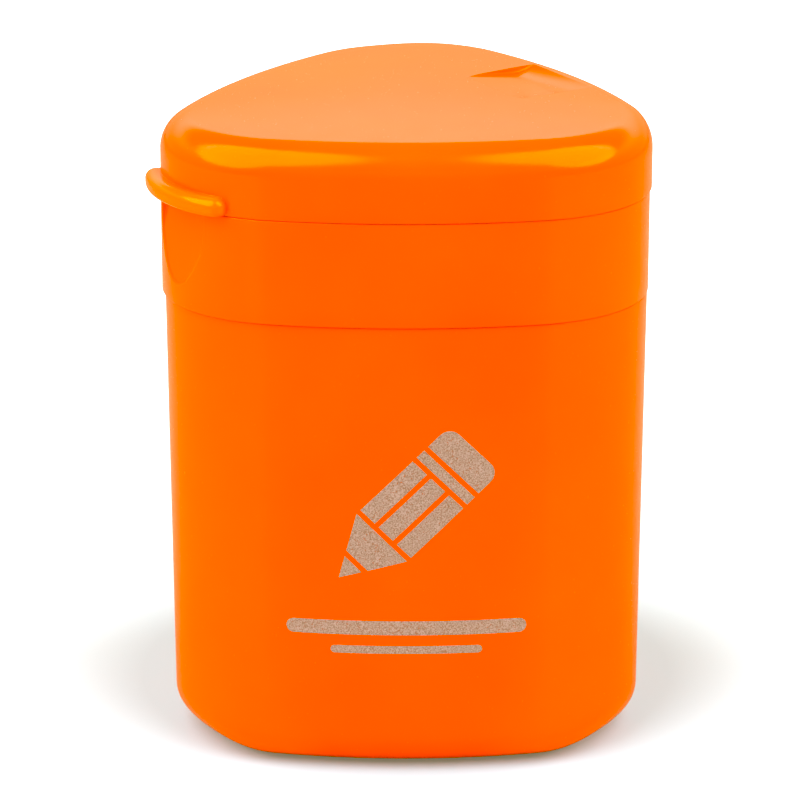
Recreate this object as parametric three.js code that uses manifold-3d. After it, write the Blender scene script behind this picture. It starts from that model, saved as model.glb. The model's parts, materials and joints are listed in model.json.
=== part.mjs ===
// Flip-top tub sharpener: a moulded tub, a collar that plugs onto it and carries a metal wedge
// sharpener, and a lid hinged on the collar. Millimetres, +Z up.
// The origin is the centre of the base, on the surface that the tub stands on.

import * as THREE from 'three';
import { mergeVertices } from 'three/addons/utils/BufferGeometryUtils.js';
import Module from 'manifold-3d';

const wasm = await Module();
wasm.setup();

const degrees = THREE.MathUtils.degToRad;

// Plan outline: a triangle with round corners and bowed sides, one side to the front (-Y).
const WIDTH = 40;
const CORNER_RADIUS = 11.25;
const SIDE_HALF_SPAN = 12;
const OUTLINE_STEPS = 60;
const HINGE_SIDE = 30;
const TAB_CORNER = 210;

const CORNER_CENTRE = (WIDTH / 2 - CORNER_RADIUS) / Math.cos(degrees(30));
const SIDE_RADIUS = CORNER_RADIUS + (WIDTH / 2 - CORNER_RADIUS) / Math.sin(degrees(SIDE_HALF_SPAN));
const SIDE_CENTRE = (WIDTH / 2 - CORNER_RADIUS) / Math.tan(degrees(SIDE_HALF_SPAN)) - CORNER_CENTRE / 2;
const SIDE_DISTANCE = SIDE_RADIUS - SIDE_CENTRE;

// Heights
const FOOT_HEIGHT = 0.2;
const TUB_SHOULDER = 38.33;
const COLLAR_BOTTOM = 38.47;
const COLLAR_TOP = 46.94;
const LID_BOTTOM = 47.08;
const LID_EDGE_TOP = 53.0;
const LID_DOME = 0.4;

// Insets of the outer faces from the lid's outline
const TUB_LOW_INSET = 0.53;
const TUB_TOP_INSET = 0.23;
const COLLAR_INSET = 0.06;

// The round of the tub's lower edge is larger at the three corners than between them: both
// radii, how far the larger one reaches each side of a corner and over what angle it fades in
const TUB_EDGE_RADIUS = 3;
const TUB_CORNER_RADIUS = 4.3;
const TUB_CORNER_REACH = 44;
const TUB_CORNER_FADE = 42;

// Tub
const FOOT_CHAMFER = 0.15;
const TUB_WALL = 1.6;
const TUB_FLOOR = 2.2;
const TUB_INNER_RADIUS = 2;
const SPIGOT_HEIGHT = 3;
const SPIGOT_INSET = 1.03;
const SPIGOT_CHAMFER = 0.3;

// Collar
const SKIRT_INNER_INSET = 0.9;
const SKIRT_DEPTH = 3.25;
const BAND_INNER_INSET = 1.83;
const DECK_BOTTOM = 44.8;
const DECK_TOP = 46.2;
const RIM_OUTER_INSET = 1.75;
const RIM_INNER_INSET = 2.6;
const RIM_TOP = 48.2;
const RIM_CHAMFER = 0.3;
const HOLE_RADIUS = 4.6;
const FUNNEL_RADIUS = 5.5;
const FUNNEL_DEPTH = 0.7;
const RECESS_HALF_WIDTH = 3.55;
const RECESS_BOTTOM = 40.1;
const RECESS_DEPTH = 0.92;

// Lid
const LID_WALL = 1.45;
const LID_EDGE_RADIUS = 2.8;
const LID_EDGE_STEPS = 6;
const LID_CEILING = 51.4;
const LID_INNER_RADIUS = 1.4;
const TAB_REACH = 1.25;
const TAB_THICKNESS = 1.5;
const TAB_HALF_ANGLE = 26;
const PLUG_RADIUS = 4.2;
const PLUG_WALL = 1;
const PLUG_BOTTOM = 45.7;
const PLUG_CHAMFER = [0.3, 0.5];

// The lid's edge round is tighter round the hinge: its radius there, the middle of that
// stretch as a direction, how far it reaches each way and over what angle it fades in
const TIGHT_RADIUS = 1.8;
const TIGHT_MIDDLE = 50;
const TIGHT_REACH = 62;
const TIGHT_FADE = 46;

// Scoop in the lid's top, over the hinge: distances out from the centre and along the hinge
const SCOOP_START = 6.8;
const SCOOP_CURL_START = 12.2;
const SCOOP_END = 16.75;
const SCOOP_EDGE_DROP = 0.05;
const SCOOP_SLOPE = 0.125;
const SCOOP_CURL = 0.08;
const SCOOP_STEPS = 12;
const SCOOP_PLAN = [[5.8, 2.1], [17.6, 5.1], [17.6, -4.4], [5.8, -6.5]];

// Hinge: a barrel with stub pins on the lid, between two ears on the collar
const HINGE_DISTANCE = 16.9;
const HINGE_HEIGHT = 45.5;
const BARREL_RADIUS = 1.35;
const BARREL_HALF_LENGTH = 4.4;
const NOTCH_HALF_LENGTH = 4.6;
const NOTCH_CLEARANCE = 0.2;
const EAR_LENGTH = 2.2;
const PIN_RADIUS = 0.75;
const PIN_LENGTH = 1.2;
const PIN_CLEARANCE = 0.12;
const PIN_END_GAP = 0.2;
const BAR_SIDES = 24;
const PIN_SIDES = 20;
// Faces of the notch's mouth and of the web, as insets from the lid's flat side
const MOUTH_INSET = 1.64;
const WEB_INSIDE_INSET = 1.39;
const WEB_OUTSIDE_INSET = 0.24;

// How far joined solids run into each other, and cutting solids stand clear
const OVERLAP = 0.3;
const CLEAR = 1;

// Metal wedge sharpener, hung with its mouth up under the deck
const BLOCK_TOP = 44.6;
const BLOCK_LENGTH = 25;
const BLOCK_WIDTH = 15.2;
const BLOCK_BACK = 5.8;
const CONE_HALF_ANGLE = 12;
const MOUTH_RADIUS = 4.1;
const MOUTH_DEPTH = 4;
const TIP_RADIUS = 0.9;
const SEAT_CUT = 0.15;
const RELIEF_DEPTH = 2.3;
const RELIEF_START = 2.5;
const GRIP_DEPTH = 1.5;
const GRIP_HALF_LENGTH = 7;

// Blade and its screw, laid on the wedge's sloping front
const BLADE_WIDTH = 7.7;
const BLADE_LENGTH = 23;
const BLADE_THICKNESS = 0.55;
const BLADE_CHAMFER = 1.2;
const BLADE_GAP = 0.05;
const BLADE_EDGE = 0.3;
const RELIEF_SIDE_GAP = 0.1;
const RELIEF_END_HEIGHT = 0.6;
const SCREW_OFFSET = -3.9;
const SCREW_DEPTH = 13;
const SCREW_HEAD_RADIUS = 2.3;
const SCREW_HEAD_HEIGHT = 1.4;
const SCREW_SHANK_RADIUS = 1;
const SCREW_SHANK_LENGTH = 4;
const SCREW_CLEARANCE = 0.2;
const SCREW_SLOT = [0.7, 0.7];
const SCREW_SLOT_TURN = 35;
const SCREW_CHAMFER = 0.3;

// Collar's side clips, which grip the wedge's hollow sides
const CLIP_GAP = 0.15;
const CLIP_THICKNESS = 1.3;
const CLIP_FRONT = -1.2;
const CLIP_BACK = 5;
const CLIP_BOTTOM = 30.5;
const CLIP_BUMP = 0.9;
const CLIP_BUMP_FOOT = 1.6;
const CLIP_BUMP_TOP = 0.5;
const CLIP_FLARE = 0.4;

const BLADE_SLOPE = degrees(CONE_HALF_ANGLE);

// ---- Solids -----------------------------------------------------------------------------

function toSolid(geometry) {
  const bare = geometry.clone();
  bare.deleteAttribute('normal');
  bare.deleteAttribute('uv');
  const merged = mergeVertices(bare, 1e-5);
  return new wasm.Manifold(new wasm.Mesh({
    numProp: 3,
    vertProperties: new Float32Array(merged.attributes.position.array),
    triVerts: new Uint32Array(merged.index.array),
  }));
}

function toGeometry(solid) {
  const mesh = solid.getMesh();
  const geometry = new THREE.BufferGeometry();
  geometry.setAttribute('position', new THREE.BufferAttribute(new Float32Array(mesh.vertProperties), 3));
  geometry.setIndex(new THREE.BufferAttribute(new Uint32Array(mesh.triVerts), 1));
  geometry.computeVertexNormals();
  return geometry;
}

function box(low, high) {
  const size = high.map((value, axis) => value - low[axis]);
  const geometry = new THREE.BoxGeometry(...size);
  geometry.translate((low[0] + high[0]) / 2, (low[1] + high[1]) / 2, (low[2] + high[2]) / 2);
  return toSolid(geometry);
}

// A round bar along Y, from one Y to another, centred on x and z.
function bar(radius, x, z, from, to, sides = BAR_SIDES) {
  const geometry = new THREE.CylinderGeometry(radius, radius, to - from, sides);
  geometry.translate(x, (from + to) / 2, z);
  return toSolid(geometry);
}

// A solid turned about the vertical line through the origin: a list of [radius, height].
function turned(profile, sides = 36) {
  const geometry = new THREE.LatheGeometry(profile.map(([r, h]) => new THREE.Vector2(r, h)), sides);
  geometry.rotateX(Math.PI / 2);
  return toSolid(geometry);
}

// A shape drawn in X and Z, pushed along Y from one value to another.
function slab(points, from, to) {
  const shape = new THREE.Shape(points.map(([x, z]) => new THREE.Vector2(x, z)));
  const geometry = new THREE.ExtrudeGeometry(shape, { depth: to - from, bevelEnabled: false });
  geometry.rotateX(Math.PI / 2);
  geometry.translate(0, to, 0);
  return toSolid(geometry);
}

// A shape drawn in X and Y, raised from one height to another.
function prism(shape, from, to, curveSegments = 8) {
  const geometry = new THREE.ExtrudeGeometry(shape, { depth: to - from, bevelEnabled: false, curveSegments });
  geometry.translate(0, 0, from);
  return toSolid(geometry);
}

function polygon(points) {
  return new THREE.Shape(points.map(([x, y]) => new THREE.Vector2(x, y)));
}

function turnZ(solid, angle) {
  return solid.rotate([0, 0, angle]);
}

// ---- The rounded-triangle outline -------------------------------------------------------

// The point of the outline where the outward direction is at an angle, moved in by an inset.
function outlinePoint(angle, inset) {
  const corner = 90 + 120 * Math.round((angle - 90) / 120);
  const direction = new THREE.Vector2(Math.cos(degrees(angle)), Math.sin(degrees(angle)));
  if (Math.abs(angle - corner) <= 60 - SIDE_HALF_SPAN) {
    const centre = new THREE.Vector2(Math.cos(degrees(corner)), Math.sin(degrees(corner)));
    return centre.multiplyScalar(CORNER_CENTRE).addScaledVector(direction, CORNER_RADIUS - inset);
  }
  const side = 30 + 120 * Math.round((angle - 30) / 120);
  const centre = new THREE.Vector2(Math.cos(degrees(side)), Math.sin(degrees(side)));
  return centre.multiplyScalar(-SIDE_CENTRE).addScaledVector(direction, SIDE_RADIUS - inset);
}

// Sweeps a profile round the outline. Each profile point is [inset, height, scale], and a scale
// of 0 is a point on the centre line. The profile runs outwards along the bottom, up the outside
// and back down the inside; an open one starts and ends on the centre line. A profile that
// changes on the way round is given as a function of the angle.
function swept(profile) {
  const profileAt = typeof profile === 'function' ? profile : () => profile;
  const positions = [];
  const rows = profileAt(0).map(([, height, scale = 1], row) => {
    const start = positions.length / 3;
    if (scale === 0) {
      positions.push(0, 0, height);
      return { start, count: 1 };
    }
    for (let step = 0; step < OUTLINE_STEPS; step += 1) {
      const angle = (360 * step) / OUTLINE_STEPS;
      const [inset, rise] = profileAt(angle)[row];
      const point = outlinePoint(angle, inset).multiplyScalar(scale);
      positions.push(point.x, point.y, rise);
    }
    return { start, count: OUTLINE_STEPS };
  });
  const closes = rows[0].count > 1;
  const index = [];
  const bands = closes ? rows.length : rows.length - 1;
  for (let band = 0; band < bands; band += 1) {
    const below = rows[band];
    const above = rows[(band + 1) % rows.length];
    for (let step = 0; step < OUTLINE_STEPS; step += 1) {
      const next = (step + 1) % OUTLINE_STEPS;
      if (below.count > 1) {
        index.push(below.start + step, below.start + next, above.start + (above.count > 1 ? next : 0));
      }
      if (above.count > 1) {
        index.push(below.start + (below.count > 1 ? step : 0), above.start + next, above.start + step);
      }
    }
  }
  const geometry = new THREE.BufferGeometry();
  geometry.setAttribute('position', new THREE.Float32BufferAttribute(positions, 3));
  geometry.setIndex(index);
  return toSolid(geometry);
}

// Profile points of a quarter round about a centre, from one angle to another.
// Angle 0 faces out of the solid's side and 90 faces up.
function quarter(inset, height, radius, from, to, steps) {
  const points = [];
  for (let step = 0; step <= steps; step += 1) {
    const angle = degrees(from + ((to - from) * step) / steps);
    points.push([inset - radius * Math.cos(angle), height + radius * Math.sin(angle)]);
  }
  return points;
}

// ---- Tub --------------------------------------------------------------------------------

// The radius of the tub's lower edge round in a direction.
function tubEdgeRadius(angle) {
  const offCorner = Math.abs(((angle + 330) % 120) - 60);
  const share = THREE.MathUtils.smoothstep(TUB_CORNER_REACH - offCorner, 0, TUB_CORNER_FADE);
  return THREE.MathUtils.lerp(TUB_EDGE_RADIUS, TUB_CORNER_RADIUS, share);
}

function makeTub() {
  const innerInset = TUB_LOW_INSET + TUB_WALL + TUB_INNER_RADIUS;
  return swept((angle) => {
    const radius = tubEdgeRadius(angle);
    const edgeInset = TUB_LOW_INSET + radius;
    return [
      [0, 0, 0],
      [edgeInset + FOOT_CHAMFER, 0],
      [edgeInset, FOOT_CHAMFER],
      ...quarter(edgeInset, FOOT_HEIGHT + radius, radius, -90, 0, 6),
      [TUB_TOP_INSET, TUB_SHOULDER],
      [SPIGOT_INSET, TUB_SHOULDER],
      [SPIGOT_INSET, TUB_SHOULDER + SPIGOT_HEIGHT - SPIGOT_CHAMFER],
      [SPIGOT_INSET + SPIGOT_CHAMFER, TUB_SHOULDER + SPIGOT_HEIGHT],
      [TUB_TOP_INSET + TUB_WALL, TUB_SHOULDER + SPIGOT_HEIGHT],
      ...quarter(innerInset, TUB_FLOOR + TUB_INNER_RADIUS, TUB_INNER_RADIUS, 0, -90, 3),
      [0, TUB_FLOOR, 0],
    ];
  });
}

// ---- Collar -----------------------------------------------------------------------------

function makeCollarShell() {
  const shell = swept([
    [0, DECK_BOTTOM, 0],
    [BAND_INNER_INSET, DECK_BOTTOM],
    [BAND_INNER_INSET, COLLAR_BOTTOM + SKIRT_DEPTH],
    [SKIRT_INNER_INSET, COLLAR_BOTTOM + SKIRT_DEPTH],
    [SKIRT_INNER_INSET, COLLAR_BOTTOM],
    [COLLAR_INSET, COLLAR_BOTTOM],
    [COLLAR_INSET, COLLAR_TOP],
    [RIM_OUTER_INSET, COLLAR_TOP],
    [RIM_OUTER_INSET, RIM_TOP - RIM_CHAMFER],
    [RIM_OUTER_INSET + RIM_CHAMFER, RIM_TOP],
    [RIM_INNER_INSET, RIM_TOP],
    [RIM_INNER_INSET, DECK_TOP],
    [0, DECK_TOP, 0],
  ]);
  const hole = turned([
    [0, DECK_BOTTOM - CLEAR],
    [HOLE_RADIUS, DECK_BOTTOM - CLEAR],
    [HOLE_RADIUS, DECK_TOP - FUNNEL_DEPTH],
    [FUNNEL_RADIUS, DECK_TOP],
    [FUNNEL_RADIUS, DECK_TOP + CLEAR],
    [0, DECK_TOP + CLEAR],
  ]);
  return shell.subtract(hole);
}

// The shallow finger recess under the lid's tab: a leaning flat cut into the round corner.
function makeFingerRecess() {
  const face = CORNER_CENTRE + CORNER_RADIUS - COLLAR_INSET;
  const cut = slab([
    [face, RECESS_BOTTOM],
    [face + CLEAR, RECESS_BOTTOM],
    [face + CLEAR, RIM_TOP],
    [face - RECESS_DEPTH, RIM_TOP],
    [face - RECESS_DEPTH, COLLAR_TOP],
  ], -RECESS_HALF_WIDTH, RECESS_HALF_WIDTH);
  return turnZ(cut, TAB_CORNER);
}

function makeHingeNotch() {
  const round = bar(BARREL_RADIUS + NOTCH_CLEARANCE, HINGE_DISTANCE, HINGE_HEIGHT,
    -NOTCH_HALF_LENGTH, NOTCH_HALF_LENGTH);
  const mouth = box(
    [SIDE_DISTANCE - MOUTH_INSET, -NOTCH_HALF_LENGTH, HINGE_HEIGHT],
    [SIDE_DISTANCE + CLEAR, NOTCH_HALF_LENGTH, COLLAR_TOP + CLEAR],
  );
  return turnZ(round.add(mouth), HINGE_SIDE);
}

function makeHingeEar(side) {
  const near = side > 0 ? NOTCH_HALF_LENGTH : -NOTCH_HALF_LENGTH - EAR_LENGTH;
  return turnZ(bar(BARREL_RADIUS, HINGE_DISTANCE, HINGE_HEIGHT, near, near + EAR_LENGTH), HINGE_SIDE);
}

function makePinSocket() {
  const reach = BARREL_HALF_LENGTH + PIN_LENGTH + PIN_END_GAP;
  const radius = PIN_RADIUS + PIN_CLEARANCE;
  return turnZ(bar(radius, HINGE_DISTANCE, HINGE_HEIGHT, -reach, reach, PIN_SIDES), HINGE_SIDE);
}

// A springy side clip under the deck, with a round bump that sits in the wedge's hollow side.
function makeClip(side) {
  const inner = BLOCK_WIDTH / 2 + CLIP_GAP;
  const bumpHeight = BLOCK_TOP - BLOCK_LENGTH / 2;
  const outline = [
    [inner, CLIP_BOTTOM],
    [inner + CLIP_THICKNESS, CLIP_BOTTOM],
    [inner + CLIP_THICKNESS + CLIP_FLARE, DECK_BOTTOM + OVERLAP],
    [inner, DECK_BOTTOM + OVERLAP],
    [inner, bumpHeight + CLIP_BUMP_FOOT],
    [inner - CLIP_BUMP, bumpHeight + CLIP_BUMP_TOP],
    [inner - CLIP_BUMP, bumpHeight - CLIP_BUMP_TOP],
    [inner, bumpHeight - CLIP_BUMP_FOOT],
  ];
  return slab(outline.map(([x, z]) => [side * x, z]), CLIP_FRONT, CLIP_BACK);
}

function makeCollar() {
  return makeCollarShell()
    .add(makeClip(1))
    .add(makeClip(-1))
    .add(makeHingeEar(1))
    .add(makeHingeEar(-1))
    .subtract(makeHingeNotch())
    .subtract(makePinSocket())
    .subtract(makeFingerRecess());
}

// ---- Lid --------------------------------------------------------------------------------

// The radius of the lid's edge round in a direction.
function lidEdgeRadius(angle) {
  const away = Math.abs(((angle - TIGHT_MIDDLE + 540) % 360) - 180);
  const tight = THREE.MathUtils.smoothstep(TIGHT_REACH - away, 0, TIGHT_FADE);
  return THREE.MathUtils.lerp(LID_EDGE_RADIUS, TIGHT_RADIUS, tight);
}

function makeLidShell() {
  return swept((angle) => {
    const radius = lidEdgeRadius(angle);
    const domeRows = [0.85, 0.65, 0.4].map((scale) => (
      [radius, LID_EDGE_TOP + LID_DOME * (1 - scale ** 2), scale]
    ));
    const innerInset = LID_WALL + LID_INNER_RADIUS;
    return [
      [0, LID_CEILING, 0],
      ...quarter(innerInset, LID_CEILING - LID_INNER_RADIUS, LID_INNER_RADIUS, 90, 0, 3),
      [LID_WALL, LID_BOTTOM],
      [0, LID_BOTTOM],
      ...quarter(radius, LID_EDGE_TOP - radius, radius, 0, 90, LID_EDGE_STEPS),
      ...domeRows,
      [0, LID_EDGE_TOP + LID_DOME, 0],
    ];
  });
}

// The thumb tab: an arc lip along the lid's lower edge, round at both ends.
function makeTab() {
  const inner = CORNER_RADIUS - LID_WALL / 2;
  const outer = CORNER_RADIUS + TAB_REACH;
  const spread = degrees(TAB_HALF_ANGLE);
  const endRadius = (outer - inner) / 2;
  const middle = (outer + inner) / 2;
  const shape = new THREE.Shape();
  shape.absarc(0, 0, outer, -spread, spread, false);
  shape.absarc(middle * Math.cos(spread), middle * Math.sin(spread), endRadius,
    spread, Math.PI + spread, false);
  shape.absarc(0, 0, inner, spread, -spread, true);
  shape.absarc(middle * Math.cos(spread), -middle * Math.sin(spread), endRadius,
    Math.PI - spread, 2 * Math.PI - spread, false);
  const tab = prism(shape, LID_BOTTOM, LID_BOTTOM + TAB_THICKNESS, 6);
  return turnZ(tab.translate([CORNER_CENTRE, 0, 0]), TAB_CORNER);
}

// Height of the scoop's floor: it slopes down outwards, then curls up to the lid's edge.
function scoopFloor(distance) {
  const slope = SCOOP_SLOPE * (distance - SCOOP_START);
  const curl = SCOOP_CURL * Math.max(0, distance - SCOOP_CURL_START) ** 2;
  return LID_EDGE_TOP + LID_DOME - SCOOP_EDGE_DROP - slope + curl;
}

function makeScoop() {
  const above = LID_EDGE_TOP + LID_DOME + CLEAR;
  const floor = [];
  for (let step = 0; step <= SCOOP_STEPS; step += 1) {
    const distance = THREE.MathUtils.lerp(SCOOP_START, SCOOP_END, step / SCOOP_STEPS);
    floor.push([distance, scoopFloor(distance)]);
  }
  const halfSpan = WIDTH / 4;
  const sweep = slab([...floor, [SCOOP_END, above], [SCOOP_START, above]], -halfSpan, halfSpan);
  const strip = prism(polygon([...SCOOP_PLAN].reverse()), LID_CEILING, above);
  return turnZ(sweep.intersect(strip), HINGE_SIDE);
}

function makeHingeBarrel() {
  const barrel = bar(BARREL_RADIUS, HINGE_DISTANCE, HINGE_HEIGHT, -BARREL_HALF_LENGTH, BARREL_HALF_LENGTH);
  const reach = BARREL_HALF_LENGTH + PIN_LENGTH;
  const pin = bar(PIN_RADIUS, HINGE_DISTANCE, HINGE_HEIGHT, -reach, reach, PIN_SIDES);
  const web = box(
    [SIDE_DISTANCE - WEB_INSIDE_INSET, -BARREL_HALF_LENGTH, HINGE_HEIGHT],
    [SIDE_DISTANCE - WEB_OUTSIDE_INSET, BARREL_HALF_LENGTH, LID_BOTTOM + CLEAR],
  );
  return turnZ(barrel.add(pin).add(web), HINGE_SIDE);
}

// The round plug under the lid, which closes the pencil hole.
function makePlug() {
  const [chamferWidth, chamferHeight] = PLUG_CHAMFER;
  return turned([
    [PLUG_RADIUS - PLUG_WALL, PLUG_BOTTOM],
    [PLUG_RADIUS - chamferWidth, PLUG_BOTTOM],
    [PLUG_RADIUS, PLUG_BOTTOM + chamferHeight],
    [PLUG_RADIUS, LID_CEILING + OVERLAP],
    [PLUG_RADIUS - PLUG_WALL, LID_CEILING + OVERLAP],
    [PLUG_RADIUS - PLUG_WALL, PLUG_BOTTOM],
  ]);
}

function makeLid() {
  return makeLidShell()
    .add(makeTab())
    .add(makeHingeBarrel())
    .add(makePlug())
    .subtract(makeScoop());
}

// ---- Metal wedge sharpener --------------------------------------------------------------

// The blade's seat is a plane that just opens the cone along its front. It leans back as it
// goes down; this is its distance in front of the pencil's axis at a depth.
function seatDistance(depth) {
  return MOUTH_RADIUS - SEAT_CUT - (depth - MOUTH_DEPTH) * Math.tan(BLADE_SLOPE);
}

// Moves a solid from the seat's own frame onto the wedge. In that frame X runs across the
// blade, Y along it towards the mouth and Z out of the seat; the origin is at a depth.
function ontoSeat(solid, depth) {
  return solid
    .rotate([90 + CONE_HALF_ANGLE, 0, 0])
    .translate([0, -seatDistance(depth), BLOCK_TOP - depth]);
}

// A bore for the pencil: straight at the mouth, then a cone down to a small way out.
function makePencilBore() {
  const coneDepth = MOUTH_DEPTH + (MOUTH_RADIUS - TIP_RADIUS) / Math.tan(BLADE_SLOPE);
  return turned([
    [0, BLOCK_TOP - BLOCK_LENGTH - CLEAR],
    [TIP_RADIUS, BLOCK_TOP - BLOCK_LENGTH - CLEAR],
    [TIP_RADIUS, BLOCK_TOP - coneDepth],
    [MOUTH_RADIUS, BLOCK_TOP - MOUTH_DEPTH],
    [MOUTH_RADIUS, BLOCK_TOP + CLEAR],
    [0, BLOCK_TOP + CLEAR],
  ]);
}

// The wedge's outline seen from the front, with both sides hollowed for the fingers.
function makeWedgeFront() {
  const half = BLOCK_WIDTH / 2;
  const middle = BLOCK_TOP - BLOCK_LENGTH / 2;
  const hollow = (side) => {
    const points = [];
    for (let step = 0; step <= 8; step += 1) {
      const along = -1 + step / 4;
      const x = side * (half - GRIP_DEPTH * (1 - along ** 2));
      points.push([x, middle + side * along * GRIP_HALF_LENGTH]);
    }
    return points;
  };
  return slab([
    [-half, BLOCK_TOP - BLOCK_LENGTH],
    [half, BLOCK_TOP - BLOCK_LENGTH],
    ...hollow(1),
    [half, BLOCK_TOP],
    [-half, BLOCK_TOP],
    ...hollow(-1),
  ], -BLOCK_WIDTH, BLOCK_WIDTH);
}

// The wedge's outline seen from the side: thick at the mouth and thin at the point.
function makeWedgeSide() {
  const tail = seatDistance(BLOCK_LENGTH);
  const shape = slab([
    [-BLOCK_BACK, BLOCK_TOP - BLOCK_LENGTH],
    [tail, BLOCK_TOP - BLOCK_LENGTH],
    [seatDistance(0), BLOCK_TOP],
    [-BLOCK_BACK, BLOCK_TOP],
  ], -BLOCK_WIDTH, BLOCK_WIDTH);
  return shape.rotate([0, 0, -90]);
}

// The trough beside the blade's edge, where the shavings come out.
function makeRelief() {
  const near = BLADE_EDGE - RELIEF_SIDE_GAP;
  const trough = slab([
    [BLOCK_WIDTH, CLEAR],
    [BLOCK_WIDTH, RELIEF_END_HEIGHT],
    [near, -RELIEF_DEPTH],
    [near, CLEAR],
  ], -BLOCK_LENGTH - RELIEF_START, 0);
  return ontoSeat(trough, RELIEF_START);
}

function makeSharpenerBody() {
  const screwHole = new THREE.CylinderGeometry(
    SCREW_SHANK_RADIUS + SCREW_CLEARANCE, SCREW_SHANK_RADIUS + SCREW_CLEARANCE,
    2 * SCREW_SHANK_LENGTH, PIN_SIDES,
  );
  screwHole.rotateX(Math.PI / 2);
  screwHole.translate(SCREW_OFFSET, 0, 0);
  return makeWedgeFront()
    .intersect(makeWedgeSide())
    .subtract(makePencilBore())
    .subtract(makeRelief())
    .subtract(ontoSeat(toSolid(screwHole), SCREW_DEPTH));
}

function makeBlade() {
  const left = BLADE_EDGE - BLADE_WIDTH;
  const half = BLADE_LENGTH / 2;
  const shape = polygon([
    [left + BLADE_CHAMFER, -half],
    [BLADE_EDGE, -half],
    [BLADE_EDGE, half],
    [left + BLADE_CHAMFER, half],
    [left, half - BLADE_CHAMFER],
    [left, BLADE_CHAMFER - half],
  ]);
  const hole = new THREE.Path();
  hole.absarc(SCREW_OFFSET, 0, SCREW_SHANK_RADIUS + SCREW_CLEARANCE, 0, 2 * Math.PI, true);
  shape.holes.push(hole);
  return ontoSeat(prism(shape, BLADE_GAP, BLADE_GAP + BLADE_THICKNESS, 10), SCREW_DEPTH);
}

function makeBladeScrew() {
  const under = 2 * BLADE_GAP + BLADE_THICKNESS;
  const screw = turned([
    [0, under - SCREW_SHANK_LENGTH],
    [SCREW_SHANK_RADIUS, under - SCREW_SHANK_LENGTH],
    [SCREW_SHANK_RADIUS, under],
    [SCREW_HEAD_RADIUS, under],
    [SCREW_HEAD_RADIUS, under + SCREW_HEAD_HEIGHT - SCREW_CHAMFER],
    [SCREW_HEAD_RADIUS - SCREW_CHAMFER, under + SCREW_HEAD_HEIGHT],
    [0, under + SCREW_HEAD_HEIGHT],
  ], BAR_SIDES);
  const [slotWidth, slotDepth] = SCREW_SLOT;
  const slot = box(
    [-slotWidth / 2, -SCREW_HEAD_RADIUS - CLEAR, under + SCREW_HEAD_HEIGHT - slotDepth],
    [slotWidth / 2, SCREW_HEAD_RADIUS + CLEAR, under + SCREW_HEAD_HEIGHT + CLEAR],
  );
  const turnedScrew = screw.subtract(slot).rotate([0, 0, SCREW_SLOT_TURN]);
  return ontoSeat(turnedScrew.translate([SCREW_OFFSET, 0, 0]), SCREW_DEPTH);
}

// ---- The object -------------------------------------------------------------------------

function addPart(group, name, solid, look) {
  const mesh = new THREE.Mesh(toGeometry(solid), new THREE.MeshStandardMaterial(look));
  mesh.name = name;
  group.add(mesh);
}

const ORANGE = { color: 0xff5a00, roughness: 0.2, metalness: 0 };

const sharpener = new THREE.Group();
addPart(sharpener, 'tub', makeTub(), ORANGE);
addPart(sharpener, 'collar', makeCollar(), ORANGE);
addPart(sharpener, 'lid', makeLid(), ORANGE);
addPart(sharpener, 'sharpener_body', makeSharpenerBody(), { color: 0xb4b6b8, roughness: 0.42, metalness: 1 });
addPart(sharpener, 'blade', makeBlade(), { color: 0xa8acb0, roughness: 0.25, metalness: 1 });
addPart(sharpener, 'blade_screw', makeBladeScrew(), { color: 0xc9b27a, roughness: 0.3, metalness: 1 });

export default sharpener;
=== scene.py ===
import json
import math

import bpy
import numpy as np
from mathutils import Matrix, Vector


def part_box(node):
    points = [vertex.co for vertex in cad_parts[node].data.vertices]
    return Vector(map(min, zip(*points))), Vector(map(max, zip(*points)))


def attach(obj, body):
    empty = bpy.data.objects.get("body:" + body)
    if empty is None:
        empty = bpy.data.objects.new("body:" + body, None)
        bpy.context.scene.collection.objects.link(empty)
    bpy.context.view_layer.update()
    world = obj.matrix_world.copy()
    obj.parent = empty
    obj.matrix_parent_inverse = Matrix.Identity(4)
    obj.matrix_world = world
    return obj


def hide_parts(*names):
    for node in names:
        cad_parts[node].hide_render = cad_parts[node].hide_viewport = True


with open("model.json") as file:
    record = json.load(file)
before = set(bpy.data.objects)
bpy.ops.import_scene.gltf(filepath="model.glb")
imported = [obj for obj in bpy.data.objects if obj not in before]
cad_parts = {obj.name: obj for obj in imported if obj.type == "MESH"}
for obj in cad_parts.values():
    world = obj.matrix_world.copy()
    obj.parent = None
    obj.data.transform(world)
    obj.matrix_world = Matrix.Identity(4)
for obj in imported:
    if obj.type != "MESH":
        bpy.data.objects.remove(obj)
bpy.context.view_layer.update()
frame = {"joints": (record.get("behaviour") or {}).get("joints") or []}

# Everything is modelled in millimetres and scaled to metres at the end, because the packed
# model is in metres and the booleans work best on sizes near 1. Angles are in degrees.
MM = 0.001


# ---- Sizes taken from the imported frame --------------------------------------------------

def low_corner(node):
    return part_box(node)[0] / MM


def high_corner(node):
    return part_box(node)[1] / MM


TUB_HIGH = high_corner("tub")
COLLAR_HIGH = high_corner("collar")
LID_HIGH = high_corner("lid")
WEDGE_LOW = low_corner("sharpener_body")
WEDGE_HIGH = high_corner("sharpener_body")
HINGE_JOINT = next(joint for joint in frame["joints"] if joint["name"] == "lid_hinge")

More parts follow.
